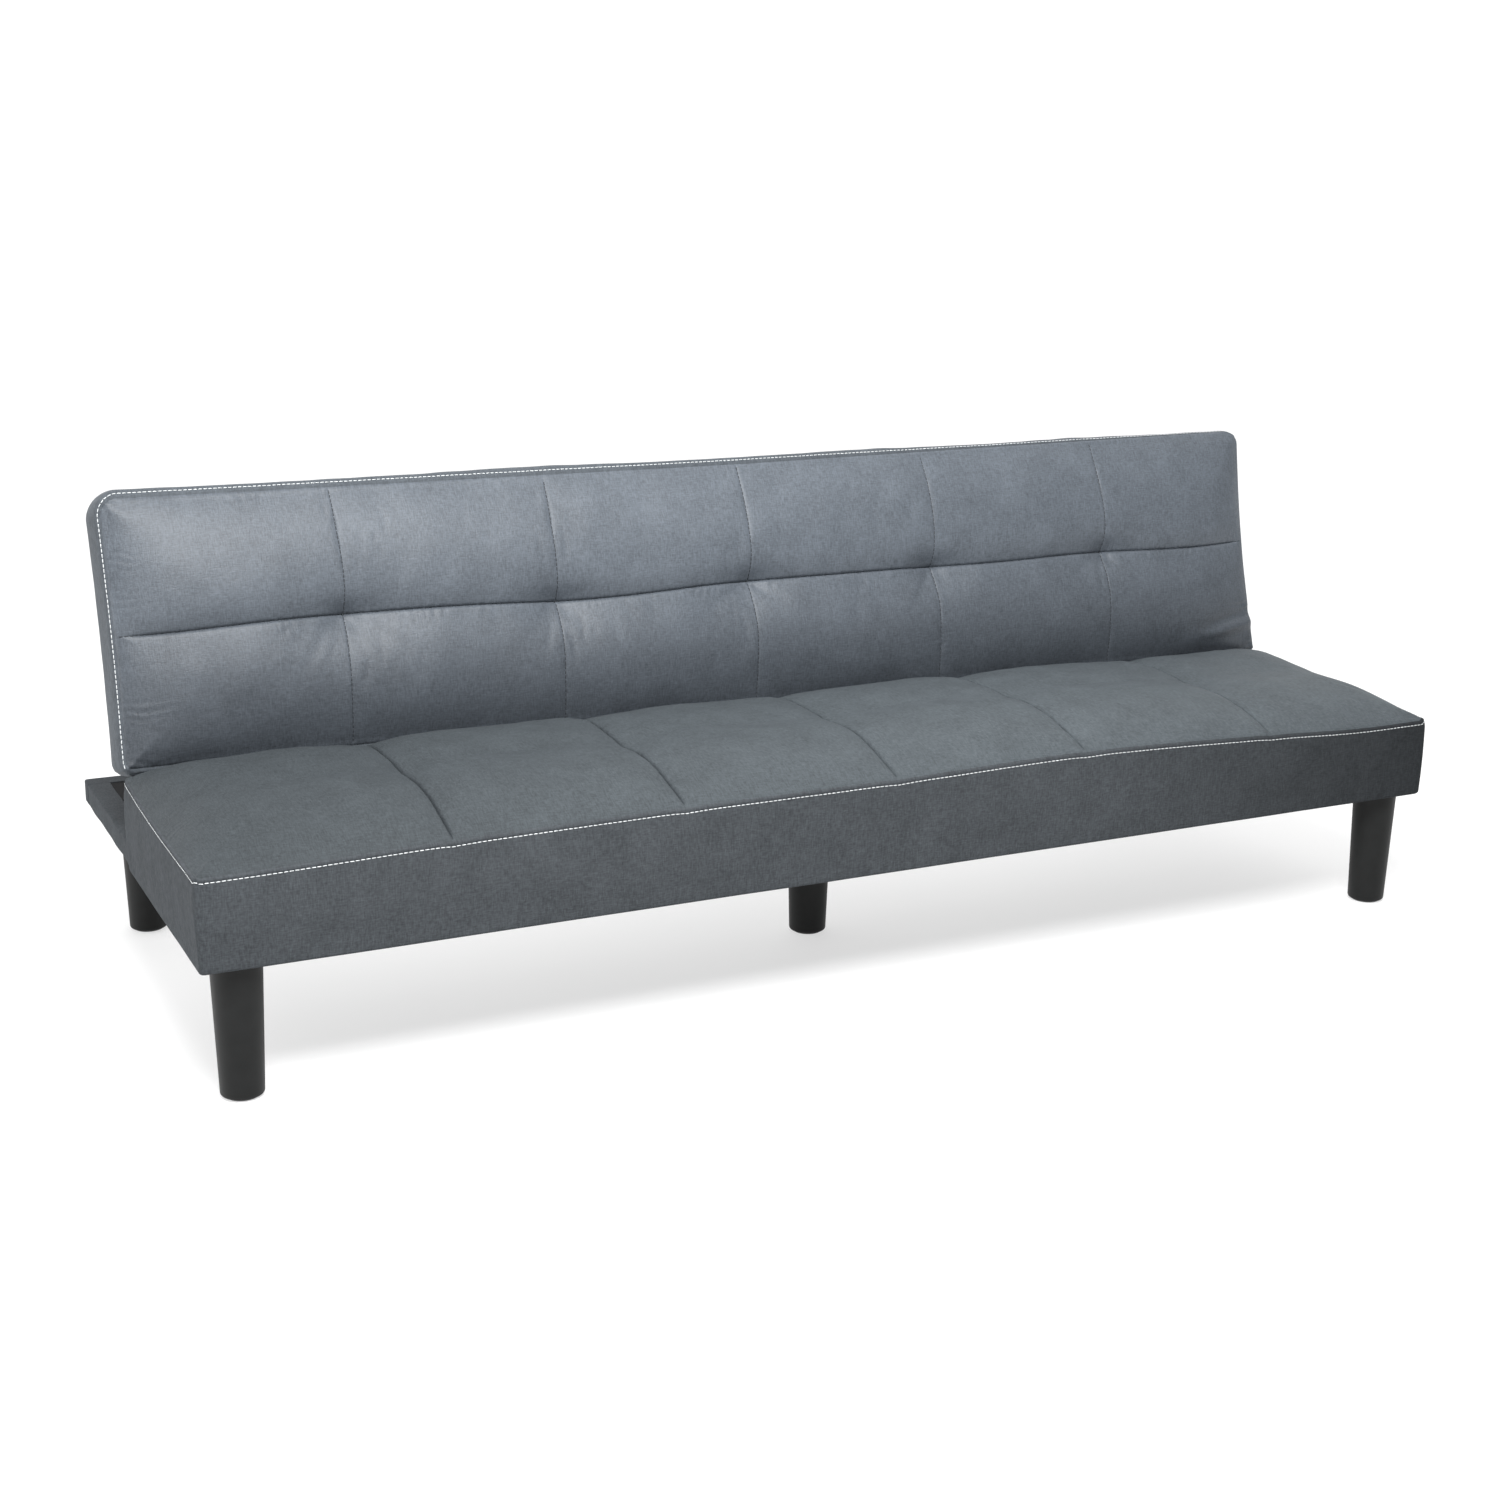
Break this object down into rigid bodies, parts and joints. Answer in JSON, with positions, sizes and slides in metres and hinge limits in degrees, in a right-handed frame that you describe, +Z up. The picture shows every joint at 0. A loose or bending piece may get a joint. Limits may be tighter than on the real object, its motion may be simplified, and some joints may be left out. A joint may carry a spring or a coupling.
{
  "type": "futon sofa bed",
  "caption": "Armless upholstered sofa bed with a quilted seat and a backrest that folds back flat on ratchet hinges.",
  "frame": {"origin": "on the floor, under the middle of the whole piece at rest", "axes": "+X from left to right seen from the front, +Y from the front edge to the rear, +Z up"},
  "size_m": [1.8, 0.75, 0.6507],
  "materials": {
    "cover_fabric": "brushed microfibre with a soft sheen, slate blue-grey",
    "foam": "open-cell foam",
    "felt": "needled felt",
    "webbing": "woven elastic",
    "dust_cloth": "black non-woven cloth",
    "leg_black": "satin black",
    "glide_plastic": "matt",
    "frame_timber": "sawn pine",
    "hinge_steel": "black powder coat",
    "fixing_zinc": "zinc plated"
  },
  "bodies": {
    "backrest": {"back_bottom_rail": "frame_timber", "back_cover": "cover_fabric", "back_end_stile_left": "frame_timber", "back_end_stile_right": "frame_timber", "back_foam": "foam", "back_mid_stiles": "frame_timber", "back_rear_panel": "cover_fabric", "back_top_rail": "frame_timber", "back_webbing": "webbing", "hinge_arm_bolts": "fixing_zinc", "hinge_arm_left": "hinge_steel", "hinge_arm_right": "hinge_steel", "ratchet_disc_left": "hinge_steel", "ratchet_disc_right": "hinge_steel"},
    "base": {"base_centre_rail": "frame_timber", "base_cross_rail_left": "frame_timber", "base_cross_rail_right": "frame_timber", "base_front_rail": "frame_timber", "base_rear_rail": "frame_timber", "base_side_rail_left": "frame_timber", "base_side_rail_right": "frame_timber", "dust_cover": "dust_cloth", "dust_cover_staples": "fixing_zinc", "front_corner_blocks": "frame_timber", "hinge_base_bolts": "fixing_zinc", "hinge_pivot_nuts": "fixing_zinc", "hinge_pivots": "fixing_zinc", "hinge_plate_left": "hinge_steel", "hinge_plate_right": "hinge_steel", "hinge_washers": "fixing_zinc", "leg_bolts": "fixing_zinc", "leg_centre": "leg_black", "leg_front_left": "leg_black", "leg_front_right": "leg_black", "leg_glides": "glide_plastic", "leg_rear_left": "leg_black", "leg_rear_right": "leg_black", "leg_tee_nuts": "fixing_zinc", "pawl_rivets": "fixing_zinc", "pawl_springs": "fixing_zinc", "rear_corner_blocks": "frame_timber", "seat_centre_board": "frame_timber", "seat_cover": "cover_fabric", "seat_end_board_left": "frame_timber", "seat_end_board_right": "frame_timber", "seat_foam": "foam", "seat_front_board": "frame_timber", "seat_rear_board": "frame_timber", "seat_spring_clips": "fixing_zinc", "seat_spring_pad": "felt", "seat_springs": "fixing_zinc", "wrap_centre": "cover_fabric", "wrap_rear": "cover_fabric", "wrap_side_left": "cover_fabric", "wrap_side_right": "cover_fabric"},
    "left_pawl": {"pawl_left": "hinge_steel"},
    "right_pawl": {"pawl_right": "hinge_steel"}
  },
  "joints": [
    {"name": "backrest_fold", "type": "hinge", "parent": "base", "child": "backrest", "pos_m": [0, 0.0425, 0.2605], "axis": [-1, 0, 0], "range_deg": [-4, 76.5]},
    {"name": "left_pawl_lift", "type": "hinge", "parent": "base", "child": "left_pawl", "pos_m": [-0.858, 0.064, 0.233], "axis": [-1, 0, 0], "range_deg": [0, 10]},
    {"name": "right_pawl_lift", "type": "hinge", "parent": "base", "child": "right_pawl", "pos_m": [0.858, 0.064, 0.233], "axis": [-1, 0, 0], "range_deg": [0, 10]}
  ]
}
